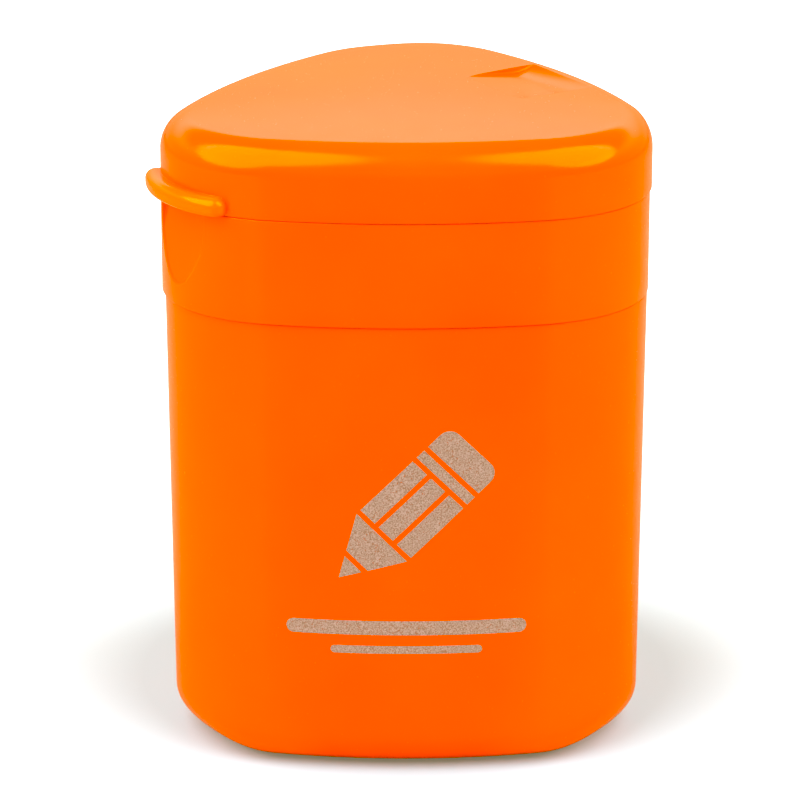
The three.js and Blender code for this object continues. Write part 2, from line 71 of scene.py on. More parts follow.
# Plan outline: a triangle with round corners and bowed sides
WIDTH = 2 * LID_HIGH.x
CORNER_RADIUS = 11.25
SIDE_HALF_SPAN = 12.0
HINGE_SIDE = 30
TAB_CORNER = 210
CORNER_CENTRE = (WIDTH / 2 - CORNER_RADIUS) / math.cos(math.radians(30))
SIDE_RADIUS = CORNER_RADIUS + (WIDTH / 2 - CORNER_RADIUS) / math.sin(math.radians(SIDE_HALF_SPAN))
SIDE_CENTRE = (SIDE_RADIUS - CORNER_RADIUS) * math.cos(math.radians(SIDE_HALF_SPAN)) - CORNER_CENTRE / 2
SIDE_DISTANCE = SIDE_RADIUS - SIDE_CENTRE

# Tub
FOOT_HEIGHT = 0.2
TUB_LOW_INSET = 0.53
TUB_TOP_INSET = 0.23
TUB_EDGE_RADIUS = 3.0
TUB_CORNER_RADIUS = 4.3
TUB_CORNER_REACH = 44
TUB_CORNER_FADE = 42
TUB_FOOT_ROUND = 0.1
TUB_WALL = 1.6
TUB_FLOOR = 2.2
TUB_INNER_RADIUS = 2.0
TUB_INNER_CHAMFER = 0.1
SPIGOT_TOP = TUB_HIGH.z
TUB_SHOULDER = SPIGOT_TOP - 3.0
SPIGOT_INSET = 1.03
SPIGOT_ROUND = 0.3

# Collar
SEAM_GAP = 0.05
SEAM_ROUND = 0.07
COLLAR_BOTTOM = TUB_SHOULDER + SEAM_GAP
COLLAR_INSET = 0.06
COLLAR_SHIFT = -0.09
RIM_TOP = COLLAR_HIGH.z
COLLAR_TOP = RIM_TOP - 1.26
DECK_TOP = RIM_TOP - 2.0
DECK_BOTTOM = DECK_TOP - 1.4
SKIRT_INNER_INSET = 0.9
SKIRT_CHAMFER = 0.15
SKIRT_LEDGE = COLLAR_BOTTOM + 3.25
BAND_INNER_INSET = 1.83
RIM_OUTER_INSET = 1.75
RIM_OUTER_ROUND = 0.3
RIM_INNER_INSET = 2.6
RIM_INNER_ROUND = 0.2
HOLE_RADIUS = 4.6
HOLE_CHAMFER = 0.1
FUNNEL_RADIUS = 5.5
FUNNEL_DEPTH = 0.7
FUNNEL_LIP = 0.06
RECESS_HALF_ANGLE = 18.6
RECESS_NARROWING = 2.4
RECESS_NARROWING_START = 2.0
RECESS_NARROWING_LENGTH = 1.4
RECESS_SIDE_SPREAD = 0.7
RECESS_BOTTOM = 40.1
RECESS_SLOPE = 0.15
RECESS_STEP = 0.08
RECESS_STEP_SPREAD = 0.03
# Painted shade in the finger recess: radii about the tab corner's centre over which the darker orange comes
# in
RECESS_PAINTED_SHADE_SPAN = (11.24, 11.16)

# Lid
LID_TOP = LID_HIGH.z
LID_DOME = 0.4
LID_EDGE_TOP = LID_TOP - LID_DOME
LID_BOTTOM = COLLAR_TOP + SEAM_GAP
LID_WALL = 1.45
LID_INNER_CHAMFER = 0.15
LID_EDGE_RADIUS = 2.8
LID_TIGHT_RADIUS = 1.8
LID_TIGHT_MIDDLE = 50
LID_TIGHT_REACH = 62
LID_TIGHT_BLEND = 46
LID_CEILING = LID_TOP - 2.0
LID_INNER_RADIUS = 1.4
LID_EDGE_TURN = 87
TAB_REACH = 1.25
TAB_THICKNESS = 1.5
TAB_UNDERSIDE = 0.02
TAB_HALF_ANGLE = 26
TAB_ROUND = 0.74
TAB_LOWER_ROUND = 0.45
# Painted light on the tab: radii about the corner's centre over which the lighter orange comes in
TAB_PAINTED_LIGHT_SPAN = (11.3, 11.8)
TAB_SIDE_SPAN = (8.5, 9.0)
PLUG_RADIUS = 4.2
PLUG_WALL = 1.0
PLUG_BOTTOM = 45.7
PLUG_OVERLAP = 0.3

# Scoop in the lid's top, in the hinge's frame: out from the centre, and along the hinge
SCOOP_START = 6.8
SCOOP_CURL_START = 12.2
SCOOP_END = 15.15
SCOOP_EDGE_DROP = 0.05
SCOOP_SLOPE = 0.125
SCOOP_CURL = 0.08
SCOOP_LEFT = ((6.8, 2.35), (15.2, 4.5))
SCOOP_RIGHT = ((6.8, -6.3), (15.2, -4.8))
SCOOP_CORNER = 0.22
SCOOP_TOOL_ABOVE = 0.6
SCOOP_TOOL_LEAST = 0.2
SCOOP_TOOL_PAST = 1.6

# Hinge
HINGE_POINT = Vector(HINGE_JOINT["pos_m"]) / MM
HINGE_DISTANCE = HINGE_POINT.xy.length
HINGE_HEIGHT = HINGE_POINT.z
BARREL_RADIUS = 1.35
BARREL_HALF_LENGTH = 4.4
NOTCH_HALF_LENGTH = 4.6
NOTCH_CLEARANCE = 0.2
NOTCH_RIM_GAP = 0.11
NOTCH_REACH = 3.0
EAR_LENGTH = 2.2
EAR_BEVEL = 0.2
PIN_RADIUS = 0.75
PIN_LENGTH = 1.2
PIN_CLEARANCE = 0.12
PIN_END_CLEARANCE = 0.2
BARREL_BEVEL = 0.15
WEB_INNER_STEP = 0.06
WEB_OUTER_INSET = 0.24
WEB_END_INSET = 0.02

# Metal wedge, blade and screw
BLOCK_TOP = WEDGE_HIGH.z
BLOCK_LENGTH = WEDGE_HIGH.z - WEDGE_LOW.z
BLOCK_WIDTH = WEDGE_HIGH.x - WEDGE_LOW.x
BLOCK_BACK = WEDGE_HIGH.y
CONE_HALF_ANGLE = 12.0
MOUTH_RADIUS = 4.1
MOUTH_DEPTH = 4.0
MOUTH_CHAMFER = 0.3
TIP_RADIUS = 0.9
SEAT_CUT = 0.15
RELIEF_DEPTH = 2.3
RELIEF_RISE = 0.6
RELIEF_TOP = 1.5
RELIEF_START = 2.5
RELIEF_OVERLAP = 0.1
RELIEF_PAST = 4.0
BLOCK_BEVEL = 0.14
GRIP_DEPTH = 1.5
GRIP_HALF_LENGTH = 7.0
GRIP_RIB_DEPTH = 0.16
GRIP_RIB_PITCH = 1.25
BLADE_WIDTH = 7.7
BLADE_LENGTH = 23.0
BLADE_THICKNESS = 0.55
BLADE_CHAMFER = 1.2
BLADE_GAP = 0.05
BLADE_EDGE = high_corner("blade").x
BLADE_GRIND = 1.5
BLADE_EDGE_THICKNESS = 0.08
BLADE_BEVEL = 0.05
SCREW_OFFSET = -3.9
SCREW_DEPTH = 13.0
SCREW_HEAD_RADIUS = 2.3
SCREW_HEAD_HEIGHT = 1.4
SCREW_SHANK_RADIUS = 1.0
SCREW_SHANK_LENGTH = 4.0
SCREW_END_CHAMFER = 0.2
SCREW_CLEARANCE = 0.2
SCREW_SLOT_WIDTH = 0.7
SCREW_SLOT_DEPTH = 0.7
SCREW_SLOT_REACH = 4.0
SCREW_TURN = 35

# Collar's side clips
CLIP_GAP = 0.15
CLIP_THICKNESS = 1.3
CLIP_FRONT = -1.2
CLIP_BACK = 5.0
CLIP_BOTTOM = 30.5
CLIP_BUMP = 0.9
CLIP_BUMP_HALF_HEIGHT = 1.6
CLIP_BUMP_HALF_FOOT = 1.8
CLIP_FLARE = 0.4
CLIP_OVERLAP = 0.2
CLIP_BEVEL = 0.15

# Printed mark on the front
PRINT_THICKNESS = 0.02
PRINT_LIFT = 0.004
FILM_LOW = 8
FILM_HIGH = 34
MARK_HEIGHT = 22.6
MARK_LENGTH = 15.6
MARK_HALF_WIDTH = 2.9
MARK_GAP = 0.42
MARK_CORNER = 1.1
MARK_TILT = 45
LINES_HEIGHT = 11.9
LINES = ((19.6, 1.25, 0.85), (12.4, 0.7, -1.05))

# Camera, as the photograph was taken
CAMERA_TARGET = Vector((-0.52, 0, 26.77)) * MM
CAMERA_DISTANCE = 339.3 * MM
CAMERA_ELEVATION = 18.31
CAMERA_LENS = 181.3
CAMERA_SENSOR = 36.0

# Meshes
ROUND_STEPS = 48
SHARP_ANGLE = 32
OVERCUT = 1.0

# Colours
ORANGE = (1.0, 0.0695, 0.0)
ORANGE_DEEP = (0.98, 0.0635, 0.0)
ORANGE_LIGHT = (1.0, 0.0755, 0.0)
# Painted light: a lighter orange on the tab, standing in for the light that falls on it
ORANGE_PAINTED_TAB_LIGHT = (1.0, 0.11, 0.0)
# Painted shade: a darker orange in the finger recess, standing in for the shade under the tab
ORANGE_PAINTED_RECESS_SHADE = (0.97, 0.056, 0.0)
INK = (0.36, 0.232, 0.222)
INK_DARK = (0.2, 0.112, 0.1)
INK_LIGHT = (0.46, 0.32, 0.305)
CAST_DARK = (0.58, 0.6, 0.65)
CAST_LIGHT = (0.72, 0.74, 0.79)
STEEL_DARK = (0.5, 0.52, 0.57)
STEEL_LIGHT = (0.64, 0.66, 0.71)
BRASS_DARK = (0.55, 0.42, 0.22)
BRASS_LIGHT = (0.7, 0.57, 0.34)

# Light and floor, with distances in metres
SOFTBOX_DISTANCE = 1.0
SOFTBOX_AIM = Vector((0, 0, 0.03))
WALL_GLOW = ((0.0, (0.75, 0.66, 0.42)), (0.2, (0.85, 0.76, 0.5)), (0.31, (1.25, 1.18, 1.0)),
             (0.41, (1.6, 1.55, 1.4)), (0.47, (1.1, 1.0, 0.75)), (0.53, (0.35, 0.3, 0.2)))
SIDE_TINT = (0.9, 0.82, 0.3)
FRONT_DIMMING = 0.75
# Painted shadow: the floor seen by the camera is greyer close to the object
FLOOR_PAINTED_SHADOW = (0.37, 0.46, 0.515)
FLOOR_FAR = (0.6, 0.73, 0.8)
FLOOR_SPREAD = (0.023, 0.033)
FLOOR_CENTRE_Y = 0.006
# Painted glow: the floor glows white to the camera, least close to the object
FLOOR_PAINTED_GLOW_SPAN = (0.05, 0.15)
FLOOR_LEAST_PAINTED_GLOW = 0.16
FLOOR_BOUNCE = (0.68, 0.65, 0.6)
FLOOR_FRONT = (0.04, 0.04, 0.04)
FLOOR_SIDE = (0.36, 0.34, 0.25)
FLOOR_FRONT_SPAN = (22, 34)
FLOOR_HALF_SIZE = 3.0
FLOOR_DROP = 0.00002
BLUE_CLIP = 0.07


# ---- Mesh helpers -----------------------------------------------------------------------

def unit(angles):
    radians = np.radians(angles)
    return np.stack([np.cos(radians), np.sin(radians)], axis=-1)


def fade_in(amount):
    """Eases from 0 to 1, and stays at either end outside that range."""
    share = np.clip(amount, 0, 1)
    return share * share * (3 - 2 * share)


def outline(angles, inset):
    """Plan points where the outward direction is at each angle, moved in by inset."""
    angles = np.asarray(angles, float)
    inset = np.broadcast_to(np.asarray(inset, float), angles.shape)
    corner = 90 + 120 * np.round((angles - 90) / 120)
    side = 30 + 120 * np.round((angles - 30) / 120)
    outward = unit(angles)
    by_corner = CORNER_CENTRE * unit(corner) + (CORNER_RADIUS - inset)[:, None] * outward
    by_side = -SIDE_CENTRE * unit(side) + (SIDE_RADIUS - inset)[:, None] * outward
    at_corner = np.abs(angles - corner) <= 60 - SIDE_HALF_SPAN
    return np.where(at_corner[:, None], by_corner, by_side)


def make_object(name, points, faces):
    mesh = bpy.data.meshes.new(name)
    mesh.from_pydata([tuple(point) for point in points], [], faces)
    mesh.validate()
    piece = bpy.data.objects.new(name, mesh)
    bpy.context.scene.collection.objects.link(piece)
    return piece


def skinned(name, rings):
    """A closed solid through rings of points, each joined to the next. A ring of one point is a
    tip. Rings that don't start with a tip are joined last to first."""
    points = [point for ring in rings for point in ring]
    starts = np.cumsum([0, *map(len, rings)]).tolist()
    count = max(map(len, rings))
    faces = []
    bands = len(rings) - 1 if len(rings[0]) == 1 else len(rings)
    for band in range(bands):
        following = (band + 1) % len(rings)
        below = starts[band]
        above = starts[following]
        for step in range(count):
            after = (step + 1) % count
            if len(rings[band]) == 1:
                faces.append((below, above + after, above + step))
            elif len(rings[following]) == 1:
                faces.append((below + step, below + after, above))
            else:
                faces.append((below + step, below + after, above + after, above + step))
    return make_object(name, points, faces)


def swept(name, rows, angles):
    """A closed solid from a profile swept round the outline. Each row is (inset, height) or
    (inset, height, scale); a scale of 0 is a point on the centre line. The profile runs out
    along the bottom, up the outside and back down the inside."""
    rings = []
    for row in rows:
        inset, height, scale = (*row, 1)[:3]
        if scale == 0:
            rings.append([(0, 0, height)])
            continue
        heights = np.broadcast_to(height, len(angles))
        rings.append([(x, y, z) for (x, y), z in zip(outline(angles, inset) * scale, heights)])
    return skinned(name, rings)


def turned(name, profile, steps=ROUND_STEPS):
    """A solid turned about the Z axis from a list of (radius, height), which starts and ends on
    the axis or closes on itself."""
    circle = unit(np.arange(steps) * 360 / steps)
    rings = [[(x, y, height) for x, y in radius * circle] if radius else [(0, 0, height)]
             for radius, height in profile]
    return skinned(name, rings)


def lofted(name, sections):
    """A closed solid through sections of equally many points, with a flat face on each end."""
    count = len(sections[0])
    points = [point for section in sections for point in section]
    faces = [tuple(reversed(range(count)))]
    for level in range(len(sections) - 1):
        for step in range(count):
            after = (step + 1) % count
            low, high = level * count, (level + 1) * count
            faces.append((low + step, low + after, high + after, high + step))
    faces.append(tuple((len(sections) - 1) * count + step for step in range(count)))
    return make_object(name, points, faces)


def prism(name, outline_points, low, high):
    """An outline in X and Y, anticlockwise, raised from low to high."""
    return lofted(name, [[(x, y, z) for x, y in outline_points] for z in (low, high)])


def slab(name, outline_points, low, high):
    """An outline in X and Z, anticlockwise seen from the front, pushed along Y from high to low."""
    return lofted(name, [[(x, y, z) for x, z in outline_points] for y in (high, low)])


def bar(name, radius, x, z, low, high, bevel=0.0):
    """A round bar along Y from low to high, centred on x and z."""
    profile = [(0, low), (radius - bevel, low), (radius, low + bevel),
               (radius, high - bevel), (radius - bevel, high), (0, high)]
    if not bevel:
        profile = [(0, low), (radius, low), (radius, high), (0, high)]
    piece = turned(name, profile)
    piece.data.transform(Matrix.Translation((x, 0, z)) @ Matrix.Rotation(-math.pi / 2, 4, "X"))
    return piece


def block(name, low, high):
    corners = [(low[0], low[1]), (high[0], low[1]), (high[0], high[1]), (low[0], high[1])]
    return prism(name, corners, low[2], high[2])


def turn_z(piece, angle):
    piece.data.transform(Matrix.Rotation(math.radians(angle), 4, "Z"))
    return piece


def bake_modifiers(piece):
    shape = piece.evaluated_get(bpy.context.evaluated_depsgraph_get())
    mesh = bpy.data.meshes.new_from_object(shape)
    piece.modifiers.clear()
    piece.data = mesh


def combine(piece, operation, *tools):
    """Joins or cuts the piece with each tool, and removes the tools."""
    for tool in tools:
        modifier = piece.modifiers.new("combine", "BOOLEAN")
        modifier.operation = operation
        modifier.solver = "EXACT"
        modifier.object = tool
        bpy.context.view_layer.update()
        bake_modifiers(piece)
        bpy.data.objects.remove(tool)
    return piece


def bevelled(piece, width, angle=35, segments=2):
    modifier = piece.modifiers.new("edges", "BEVEL")
    modifier.width = width
    modifier.segments = segments
    modifier.limit_method = "ANGLE"
    modifier.angle_limit = math.radians(angle)
    modifier.use_clamp_overlap = True
    bpy.context.view_layer.update()
    bake_modifiers(piece)
    return piece


def finish_piece(piece, body, node, material):
    """Scales a finished mesh to metres, smooths it and lets it stand for its CAD node."""
    mesh = piece.data
    mesh.transform(Matrix.Scale(MM, 4))
    mesh.shade_smooth()
    mesh.set_sharp_from_angle(angle=math.radians(SHARP_ANGLE))
    mesh.materials.clear()
    mesh.materials.append(material)
    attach(piece, body)
    if node:
        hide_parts(node)


def arc(inset, height, radius, start, end, steps):
    """Profile points of a round about a centre. Angle 0 faces outwards and 90 faces up."""
    angles = np.radians(np.linspace(start, end, steps + 1))
    return [(inset - radius * math.cos(a), height + radius * math.sin(a)) for a in angles]


def between(start, end, steps):
    """Profile points along a straight stretch, without its two ends."""
    return [tuple(a + (b - a) * step / steps for a, b in zip(start, end)) for step in range(1, steps)]


# ---- Tub --------------------------------------------------------------------------------

def make_tub():
    """The tub. The round of its lower edge is larger at the three corners than between them."""
    angles = np.arange(0, 360, 1.5)
    off_corner = np.abs((angles - 90 + 60) % 120 - 60)
    radius = TUB_EDGE_RADIUS + (TUB_CORNER_RADIUS - TUB_EDGE_RADIUS) * fade_in(
        (TUB_CORNER_REACH - off_corner) / TUB_CORNER_FADE)
    edge_inset = TUB_LOW_INSET + radius
    edge_height = FOOT_HEIGHT + radius
    inner = TUB_LOW_INSET + TUB_WALL
    inner_bottom = TUB_FLOOR + TUB_INNER_RADIUS
    mouth = TUB_TOP_INSET + TUB_WALL
    mouth_top = SPIGOT_TOP - TUB_INNER_CHAMFER
    foot = TUB_FOOT_ROUND
    lip = SEAM_ROUND
    rim = SPIGOT_ROUND
    rows = [
        (0, 0, 0),
        *arc(edge_inset + foot, foot, foot, -90, 0, 4),
        *arc(edge_inset, edge_height, radius, -90, 0, 18),
        *between((TUB_LOW_INSET, edge_height), (TUB_TOP_INSET, TUB_SHOULDER - lip), 30),
        *arc(TUB_TOP_INSET + lip, TUB_SHOULDER - lip, lip, 0, 90, 4),
        (SPIGOT_INSET, TUB_SHOULDER),
        *arc(SPIGOT_INSET + rim, SPIGOT_TOP - rim, rim, 0, 90, 4),
        (mouth - TUB_INNER_CHAMFER, SPIGOT_TOP),
        (mouth, mouth_top),
        *between((mouth, mouth_top), (inner, inner_bottom), 12),
        *arc(inner + TUB_INNER_RADIUS, inner_bottom, TUB_INNER_RADIUS, 0, -90, 8),
        (0, TUB_FLOOR, 0),
    ]
    return swept("tub_shell", rows, angles)


# ---- Collar -----------------------------------------------------------------------------

def recess_inset(angles, height):
    """How far the finger recess takes the collar's face back at a height: a leaning flat with
    a small step all round its edge."""
    outer = CORNER_RADIUS - COLLAR_INSET
    above = height - RECESS_BOTTOM
    near = np.clip(np.abs(np.asarray(angles) - TAB_CORNER), 0, 40)
    depth = outer - (outer - RECESS_SLOPE * above) / np.cos(np.radians(near))
    depth = np.maximum(depth, 0) + RECESS_STEP * fade_in(depth / RECESS_STEP_SPREAD)
    past_start = max(above - RECESS_NARROWING_START, 0)
    half_angle = RECESS_HALF_ANGLE - RECESS_NARROWING * math.exp(-past_start / RECESS_NARROWING_LENGTH)
    return depth * fade_in((half_angle + RECESS_SIDE_SPREAD / 2 - near) / RECESS_SIDE_SPREAD)


def collar_angles():
    """Even steps round the outline, with finer ones at the finger recess."""
    coarse = np.arange(0, 360, 1.5)
    reach = RECESS_HALF_ANGLE + 2
    away = coarse[np.abs(coarse - TAB_CORNER) > reach]
    fine = TAB_CORNER + np.arange(-reach, reach + 0.01, 0.6)
    edges = [TAB_CORNER + side * (RECESS_HALF_ANGLE + step)
             for side in (-1, 1) for step in np.arange(-1.5, 0.51, 0.1)]
    return np.unique(np.round(np.concatenate([away, fine, edges]), 3))


def make_collar_shell():
    angles = collar_angles()
    edge = SEAM_ROUND
    low, high = COLLAR_BOTTOM + edge, COLLAR_TOP - edge
    below = (COLLAR_INSET, RECESS_BOTTOM - 0.3)
    above = (COLLAR_INSET, RECESS_BOTTOM + 1.8)
    face = [
        *arc(COLLAR_INSET + edge, low, edge, -90, 0, 3),
        below,
        *between(below, above, 34),
        above,
        *between(above, (COLLAR_INSET, high), 24),
        *arc(COLLAR_INSET + edge, high, edge, 0, 90, 3),
    ]
    outer = [(inset + recess_inset(angles, height), height) for inset, height in face]
    rows = [
        (0, DECK_BOTTOM, 0),
        (BAND_INNER_INSET, DECK_BOTTOM),
        (BAND_INNER_INSET, SKIRT_LEDGE),
        (SKIRT_INNER_INSET, SKIRT_LEDGE),
        (SKIRT_INNER_INSET, COLLAR_BOTTOM + SKIRT_CHAMFER),
        (SKIRT_INNER_INSET - SKIRT_CHAMFER, COLLAR_BOTTOM),
        *outer,
        (RIM_OUTER_INSET, COLLAR_TOP),
        *arc(RIM_OUTER_INSET + RIM_OUTER_ROUND, RIM_TOP - RIM_OUTER_ROUND, RIM_OUTER_ROUND, 0, 90, 4),
        *arc(RIM_INNER_INSET - RIM_INNER_ROUND, RIM_TOP - RIM_INNER_ROUND, -RIM_INNER_ROUND, -90, 0, 3),
        (RIM_INNER_INSET, DECK_TOP),
        (0, DECK_TOP, 0),
    ]
    return swept("collar_shell", rows, angles)


def make_clip(side):
    """A springy side clip with a bump that sits in the wedge's hollow side."""
    inner = BLOCK_WIDTH / 2 + CLIP_GAP
    outer = inner + CLIP_THICKNESS
    root = DECK_BOTTOM + CLIP_OVERLAP
    middle = BLOCK_TOP - BLOCK_LENGTH / 2
    bump = [(inner - CLIP_BUMP * math.cos(turn), middle - CLIP_BUMP_HALF_HEIGHT * math.sin(turn))
            for turn in np.radians(range(-80, 81, 20))]
    points = [(inner, CLIP_BOTTOM), (outer, CLIP_BOTTOM), (outer + CLIP_FLARE, root), (inner, root),
              (inner, middle + CLIP_BUMP_HALF_FOOT), *bump, (inner, middle - CLIP_BUMP_HALF_FOOT)]
    if side < 0:
        points = [(-x, z) for x, z in reversed(points)]
    clip = slab("clip", points, CLIP_FRONT, CLIP_BACK)
    return bevelled(clip, CLIP_BEVEL)


def make_hinge_notch():
    notch = bar("notch", BARREL_RADIUS + NOTCH_CLEARANCE, HINGE_DISTANCE, HINGE_HEIGHT,
                -NOTCH_HALF_LENGTH, NOTCH_HALF_LENGTH)
    half = NOTCH_HALF_LENGTH
    mouth = block("mouth", (SIDE_DISTANCE - RIM_OUTER_INSET + NOTCH_RIM_GAP, -half, HINGE_HEIGHT),
                  (HINGE_DISTANCE + NOTCH_REACH, half, COLLAR_TOP + OVERCUT))
    return turn_z(combine(notch, "UNION", mouth), HINGE_SIDE)


def make_hinge_ear(side):
    near = NOTCH_HALF_LENGTH if side > 0 else -NOTCH_HALF_LENGTH - EAR_LENGTH
    ear = bar("ear", BARREL_RADIUS, HINGE_DISTANCE, HINGE_HEIGHT, near, near + EAR_LENGTH, EAR_BEVEL)
    return turn_z(ear, HINGE_SIDE)


def make_pencil_hole():
    """The tool that cuts the pencil's hole, with a shallow funnel above it."""
    bottom = DECK_BOTTOM - OVERCUT
    top = DECK_TOP + OVERCUT
    profile = [(0, bottom), (HOLE_RADIUS, bottom),
               (HOLE_RADIUS, DECK_TOP - FUNNEL_DEPTH - HOLE_CHAMFER),
               (HOLE_RADIUS + HOLE_CHAMFER, DECK_TOP - FUNNEL_DEPTH),
               (FUNNEL_RADIUS - HOLE_CHAMFER, DECK_TOP - FUNNEL_LIP),
               (FUNNEL_RADIUS, DECK_TOP), (FUNNEL_RADIUS, top), (0, top)]
    return turned("hole", profile, 2 * ROUND_STEPS)


def make_pin_socket():
    reach = BARREL_HALF_LENGTH + PIN_LENGTH + PIN_END_CLEARANCE
    socket = bar("socket", PIN_RADIUS + PIN_CLEARANCE, HINGE_DISTANCE, HINGE_HEIGHT, -reach, reach)
    return turn_z(socket, HINGE_SIDE)


def make_collar():
    collar = make_collar_shell()
    collar.data.transform(Matrix.Translation((COLLAR_SHIFT, 0, 0)))
    combine(collar, "UNION", make_clip(1), make_clip(-1), make_hinge_ear(1), make_hinge_ear(-1))
    return combine(collar, "DIFFERENCE", make_pencil_hole(), make_hinge_notch(), make_pin_socket())


# ---- Lid --------------------------------------------------------------------------------

def make_lid_shell():
    """The lid. The round of its upper edge is tighter over the hinge's side, and it ends a
    little short of level, where the low dome of the top goes on from it."""
    angles = np.arange(0, 360, 1.0)
    off_hinge = np.abs((angles - LID_TIGHT_MIDDLE + 180) % 360 - 180)
    radius = LID_EDGE_RADIUS - (LID_EDGE_RADIUS - LID_TIGHT_RADIUS) * fade_in(
        (LID_TIGHT_REACH - off_hinge) / LID_TIGHT_BLEND)
    edge = SEAM_ROUND
    inner = LID_WALL + LID_INNER_RADIUS
    meet = math.radians(LID_EDGE_TURN)
    dome_inset = radius * (1 - math.cos(meet))
    dome_base = LID_EDGE_TOP - radius * (1 - math.sin(meet))
    dome = [(dome_inset, dome_base + (LID_TOP - dome_base) * (1 - scale ** 2), scale)
            for scale in np.linspace(1, 0, 41)[1:-1]]
    round_edge = [(radius * (1 - math.cos(turn)), LID_EDGE_TOP - radius * (1 - math.sin(turn)))
                  for turn in np.linspace(0, meet, 27)]
    rows = [
        (0, LID_CEILING, 0),
        *arc(inner, LID_CEILING - LID_INNER_RADIUS, LID_INNER_RADIUS, 90, 0, 8),
        (LID_WALL, LID_BOTTOM + LID_INNER_CHAMFER),
        (LID_WALL - LID_INNER_CHAMFER, LID_BOTTOM),
        *arc(edge, LID_BOTTOM + edge, edge, -90, 0, 4),
        *between((0, LID_BOTTOM + edge), (0, LID_EDGE_TOP - LID_EDGE_RADIUS), 6),
        *round_edge,
        *dome,
        (0, LID_TOP, 0),
    ]
    return swept("lid_shell", rows, angles)


def arc_capsule(radius, half_angle, half_width):
    """The outline of a band of even width along an arc about the origin, round at both ends."""
    end = unit([-half_angle, half_angle]) * radius
    outer = unit(np.linspace(-half_angle, half_angle, 41)) * (radius + half_width)
    inner = unit(np.linspace(half_angle, -half_angle, 41)) * (radius - half_width)
    far_end = end[1] + half_width * unit(half_angle + np.linspace(0, 180, 15)[1:-1])
    near_end = end[0] + half_width * unit(180 - half_angle + np.linspace(0, 180, 15)[1:-1])
    return np.concatenate([outer, far_end, inner, near_end])


def make_tab():
    """The thumb tab: an arc lip with a round nose."""
    inner = CORNER_RADIUS - LID_WALL / 2
    outer = CORNER_RADIUS + TAB_REACH
    half_width = (outer - inner) / 2
    low = LID_BOTTOM + TAB_UNDERSIDE
    high = LID_BOTTOM + TAB_THICKNESS
    sections = []
    lower = [(TAB_LOWER_ROUND, low + TAB_LOWER_ROUND, angle) for angle in np.linspace(-90, 0, 10)]
    upper = [(TAB_ROUND, high - TAB_ROUND, angle) for angle in np.linspace(0, 90, 10)]
    for radius, base, angle in [*lower, *upper]:
        width = half_width - radius * (1 - math.cos(math.radians(angle)))
        height = base + radius * math.sin(math.radians(angle))
        ring = arc_capsule((outer + inner) / 2, TAB_HALF_ANGLE, width)
        sections.append([(x + CORNER_CENTRE, y, height) for x, y in ring])
    return turn_z(lofted("tab", sections), TAB_CORNER)


def scoop_floor(distance):
    """Height of the scoop's floor: it slopes down outwards, then curls up to the lid's edge."""
    slope = SCOOP_SLOPE * (distance - SCOOP_START)
    curl = SCOOP_CURL * max(0, distance - SCOOP_CURL_START) ** 2
    return LID_TOP - SCOOP_EDGE_DROP - slope + curl


def scoop_side(line, distance):
    (near, near_along), (far, far_along) = line
    return near_along + (far_along - near_along) * (distance - near) / (far - near)


def make_scoop():
    """The tool that cuts the scoop: sections across it, with softly rounded bottom corners."""
    above = LID_TOP + SCOOP_TOOL_ABOVE
    quarter = unit(np.linspace(0, 90, 6))
    sections = []
    for distance in np.linspace(SCOOP_START, SCOOP_END + SCOOP_TOOL_PAST, 60):
        floor = min(scoop_floor(distance), above - SCOOP_TOOL_LEAST)
        left = scoop_side(SCOOP_LEFT, distance)
        right = scoop_side(SCOOP_RIGHT, distance)
        corner = min(SCOOP_CORNER, 0.45 * (above - floor))
        left_corner = [(left - corner * (1 - c), floor + corner * (1 - s)) for c, s in quarter]
        right_corner = [(right + corner * (1 - s), floor + corner * (1 - c)) for c, s in quarter]
        points = [(left, above), *left_corner, *right_corner, (right, above)]
        sections.append([(distance, along, height) for along, height in points])
    tool = lofted("scoop", [list(reversed(section)) for section in sections])
    return turn_z(tool, HINGE_SIDE)


def make_hinge_barrel():
    barrel = bar("barrel", BARREL_RADIUS, HINGE_DISTANCE, HINGE_HEIGHT,
                 -BARREL_HALF_LENGTH, BARREL_HALF_LENGTH, BARREL_BEVEL)
    reach = BARREL_HALF_LENGTH + PIN_LENGTH
    pin = bar("pin", PIN_RADIUS, HINGE_DISTANCE, HINGE_HEIGHT, -reach, reach, BARREL_BEVEL)
    web_half = BARREL_HALF_LENGTH - WEB_END_INSET
    web = block("web", (SIDE_DISTANCE - LID_WALL + WEB_INNER_STEP, -web_half, HINGE_HEIGHT),
                (SIDE_DISTANCE - WEB_OUTER_INSET, web_half, LID_BOTTOM + OVERCUT))
    return turn_z(combine(barrel, "UNION", pin, web), HINGE_SIDE)


def make_plug():
    """The sealing ring under the lid, with a lead-in round its lower edge."""
    inner = PLUG_RADIUS - PLUG_WALL
    top = LID_CEILING + PLUG_OVERLAP
    profile = [(inner, PLUG_BOTTOM), (PLUG_RADIUS - 0.3, PLUG_BOTTOM),
               (PLUG_RADIUS - 0.09, PLUG_BOTTOM + 0.15), (PLUG_RADIUS, PLUG_BOTTOM + 0.5),
               (PLUG_RADIUS, top), (inner, top)]
    return turned("plug", profile, 2 * ROUND_STEPS)


def make_lid():
    lid = make_lid_shell()
    combine(lid, "UNION", make_tab(), make_hinge_barrel(), make_plug())
    return combine(lid, "DIFFERENCE", make_scoop())


# ---- Metal wedge, blade and screw -------------------------------------------------------

def seat_distance(depth):
    """How far in front of the pencil's axis the blade's seat is, at a depth below the mouth."""
    return MOUTH_RADIUS - SEAT_CUT - (depth - MOUTH_DEPTH) * math.tan(math.radians(CONE_HALF_ANGLE))


def onto_seat(piece, depth):
    """Moves a piece from the seat's frame (X across the blade, Y to the mouth, Z out)."""
    place = Matrix.Translation((0, -seat_distance(depth), BLOCK_TOP - depth))
    piece.data.transform(place @ Matrix.Rotation(math.radians(90 + CONE_HALF_ANGLE), 4, "X"))
    return piece


